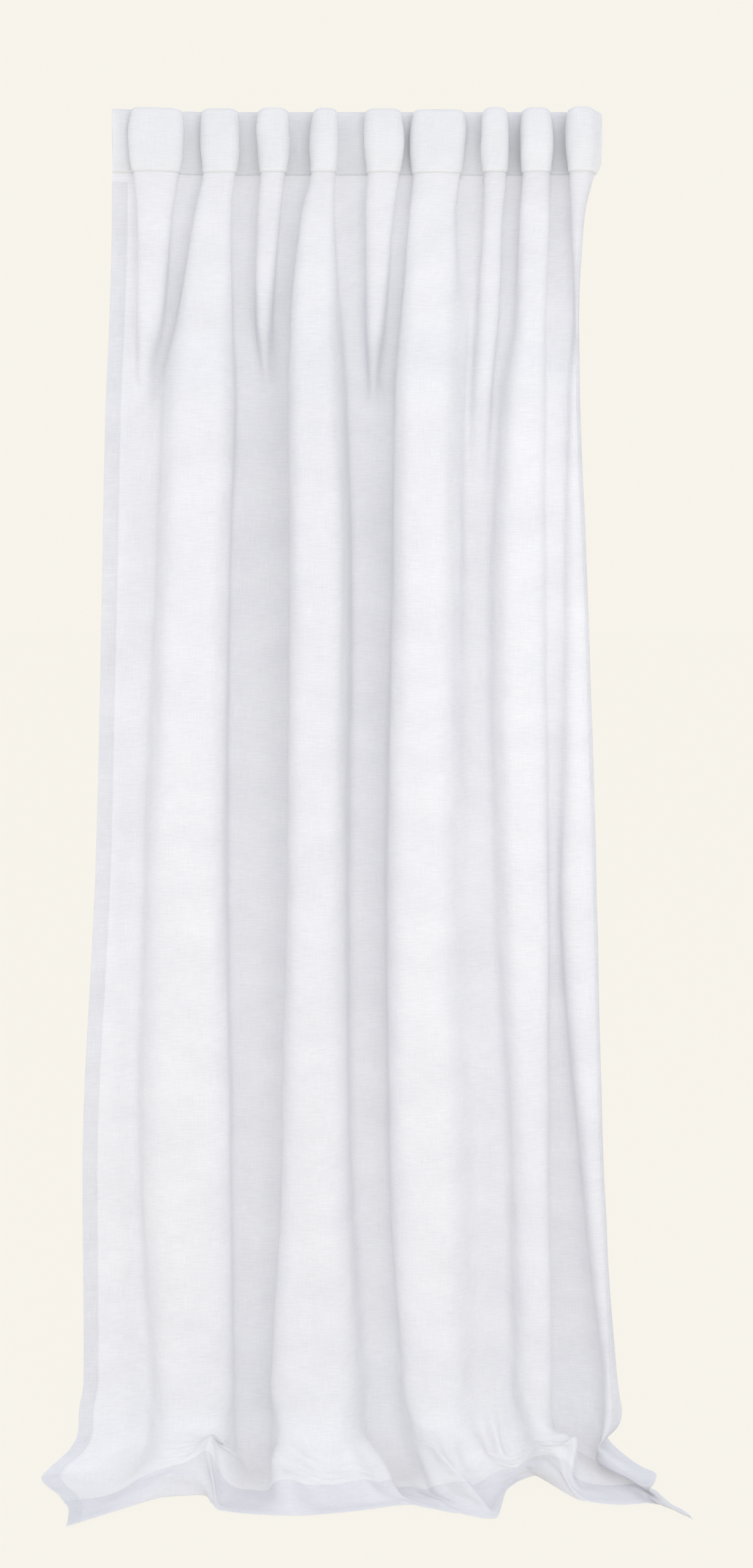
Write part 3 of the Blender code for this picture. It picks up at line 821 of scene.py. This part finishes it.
# The hidden tabs: straps of webbing round the rod's place, sewn down with bar tacks.
def strap_mesh(name, low, high):
    """A strap as wide as its CAD node, on the same path, with rounded turns and raised edges."""
    width = high.x - low.x
    front_y, reach = low.y + STRAP_THICKNESS / 2, high.y - STRAP_THICKNESS / 2
    centre = reach - STRAP_TURN
    angles = np.linspace(math.pi / 2, 0, 7)
    turn = [(centre + STRAP_TURN * math.cos(a), centre + STRAP_TURN * math.sin(a)) for a in angles]
    upper = [(front_y, high.z), (front_y, high.z - STRAP_LAP), (front_y + STRAP_TURN * 0.9, reach), *turn]
    lower = [(y, -z) for y, z in reversed(upper[2:])]
    path = [*upper, *lower, (front_y, low.z + STRAP_LAP), (front_y, low.z)]
    path = rounded(np.array(path), STRAP_ROUNDING, 0.0008)
    direction = np.gradient(path, axis=0)
    direction /= np.linalg.norm(direction, axis=1, keepdims=True)
    side = np.column_stack([-direction[:, 1], direction[:, 0]])
    columns = np.linspace(-0.5, 0.5, 11)
    edge = STRAP_THICKNESS / 2 * (1 - 0.35 * np.abs(2 * columns) ** 8)
    shell = []
    for sign, order in ((1, columns), (-1, columns[::-1])):
        for column, half in zip(order, edge if sign > 0 else edge[::-1]):
            x = (low.x + high.x) / 2 + column * width
            shell.append(np.column_stack([np.full(len(path), x), path + side * half * sign]))
    shell.append(shell[0])
    grid = np.stack(shell, axis=1)
    across_at = np.concatenate([columns, columns[::-1], columns[:1]])[None, :] * width
    return cloth_mesh(name, grid, across_at, along(path)[:, None])


def tack_mesh(name, low, high):
    """A bar tack: thread laid to and fro over the strap's end."""
    xs = np.linspace(low.x + TACK_INSET, high.x - TACK_INSET, TACK_PASSES)
    zs = np.where(np.arange(TACK_PASSES) % 2, high.z - TACK_INSET, low.z + TACK_INSET)
    points = np.column_stack([xs, np.full(TACK_PASSES, low.y + TACK_INSET), zs])
    outs_from_it = np.tile([0.0, 1.0, 0.0], (TACK_PASSES - 1, 1))
    return capsules(name, points[:-1], points[1:], outs_from_it, TACK_RADIUS)


for name in tab_names:
    number = name[-2:]
    body = "panel" if number == "01" else f"tab_{number}"
    strap = linked(f"tab_strap_{number}", strap_mesh(name, *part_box(name)), webbing, body, (name,))
    for where in ("top", "low"):
        node = f"tack_{where}_{number}"
        mesh = tack_mesh(f"bar_{node}", *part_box(node))
        linked(f"bar_{node}", mesh, stitching, body, (node,))

# Drawn along the rod, the cloth gathers towards its first tab.
# Each piece of cloth gets a mesh of its own.
for piece in (cloth, heading, tape, *hems, *threads):
    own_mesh(piece)


# ---------------------------------------------------------------------------------------------------- studio
PAPER = (0.93, 0.90, 0.83)
PAPER_SHADE = 0.05
DOME = (0.93, 0.95, 1.0)
DOME_STRENGTH = 1.06
LAMP = (1.0, 0.99, 0.98)
LIT_PLACE = (0, 0, -0.85)
# The camera stands in front of the panel, a little right of its middle, and looks down at it. Heights are above
# the floor.
LENS = 51.75
CAMERA_HEIGHT = 1.64
CAMERA_DISTANCE = 3.80
AIM_HEIGHT = 1.19
AIM_X = 0.034


def paper(name, shade):
    """Studio paper that keeps an even tone, with only a share of the light and shadow that falls on it."""
    made, nodes, links = node_tree(name)
    output = nodes.new("ShaderNodeOutputMaterial")
    lit = nodes.new("ShaderNodeBsdfDiffuse")
    lit.inputs["Color"].default_value = (*[value * 0.95 for value in PAPER], 1)
    even = nodes.new("ShaderNodeEmission")
    even.inputs["Color"].default_value = (*PAPER, 1)
    mix = nodes.new("ShaderNodeMixShader")
    mix.inputs[0].default_value = shade
    links.new(even.outputs[0], mix.inputs[1])
    links.new(lit.outputs[0], mix.inputs[2])
    links.new(mix.outputs[0], output.inputs["Surface"])
    return made


bpy.ops.mesh.primitive_plane_add(size=60, location=(0, 0, FLOOR_Z - 0.0005))
floor = bpy.context.object
floor.name = "studio_floor"
floor.data.materials.append(paper("studio_paper", PAPER_SHADE))

world = bpy.data.worlds.new("studio")
bpy.context.scene.world = world
world.use_nodes = True
nodes, links = world.node_tree.nodes, world.node_tree.links
seen = nodes["Background"]
seen.inputs["Color"].default_value = (*PAPER, 1)
dome = nodes.new("ShaderNodeBackground")
dome.inputs["Color"].default_value = (*DOME, 1)
dome.inputs["Strength"].default_value = DOME_STRENGTH
path = nodes.new("ShaderNodeLightPath")
mix = nodes.new("ShaderNodeMixShader")
links.new(path.outputs["Is Camera Ray"], mix.inputs[0])
links.new(dome.outputs[0], mix.inputs[1])
links.new(seen.outputs[0], mix.inputs[2])
links.new(mix.outputs[0], nodes["World Output"].inputs["Surface"])


def area_light(name, place, size, power):
    """A soft lamp of this width and height, turned to the middle of the cloth."""
    data = bpy.data.lights.new(name, "AREA")
    data.shape = "RECTANGLE"
    data.size, data.size_y = size
    data.energy = power
    data.color = LAMP
    light = bpy.data.objects.new(name, data)
    light.location = place
    light.rotation_euler = (Vector(LIT_PLACE) - Vector(place)).to_track_quat("-Z", "Y").to_euler()
    bpy.context.scene.collection.objects.link(light)


area_light("key", (0.5, -2.5, -0.8), (1.6, 1.6), 17)
for side in (-1, 1):
    area_light(f"side_{side}", (side * 2.3, -1.6, -0.8), (1.0, 1.6), 7)

camera_data = bpy.data.cameras.new("camera")
camera_data.sensor_width = 36
camera_data.lens = LENS
camera = bpy.data.objects.new("camera", camera_data)
camera.location = (AIM_X, -CAMERA_DISTANCE, FLOOR_Z + CAMERA_HEIGHT)
aim = Vector((AIM_X, 0, FLOOR_Z + AIM_HEIGHT)) - camera.location
camera.rotation_euler = aim.to_track_quat("-Z", "Y").to_euler()
bpy.context.scene.collection.objects.link(camera)
bpy.context.scene.camera = camera
bpy.context.scene.view_settings.view_transform = "Standard"
